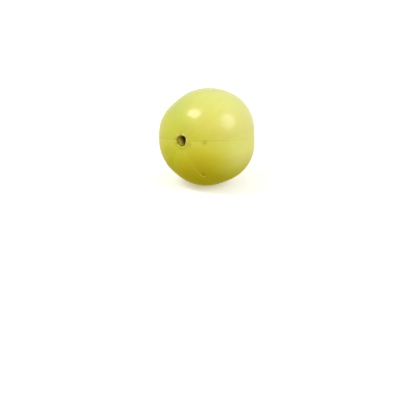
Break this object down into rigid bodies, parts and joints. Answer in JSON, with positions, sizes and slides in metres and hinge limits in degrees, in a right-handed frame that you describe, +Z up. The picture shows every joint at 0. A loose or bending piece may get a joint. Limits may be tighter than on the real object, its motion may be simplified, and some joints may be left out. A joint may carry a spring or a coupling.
{
  "type": "indian gooseberry",
  "caption": "Whole round Indian gooseberry (amla), slightly flattened from end to end, with faint furrows and a stalk scar, lying on its side on a small flat spot.",
  "frame": {"origin": "on the floor, under the middle of the fruit", "axes": "the stem end faces -Y, and the fruit's own axis runs from it along Y and 11 degrees downwards; +Z is up as it lies; +X is to the right of someone who faces the stem end"},
  "size_m": [0.034, 0.0316, 0.034],
  "materials": {
    "skin": "waxy, slightly see-through yellow-green fruit skin with a soft gloss",
    "dry_stalk": "dry, matt brown stalk tissue in the stem scar and at the flower end"
  },
  "bodies": {
    "root": {"fruit": "skin"}
  },
  "joints": []
}
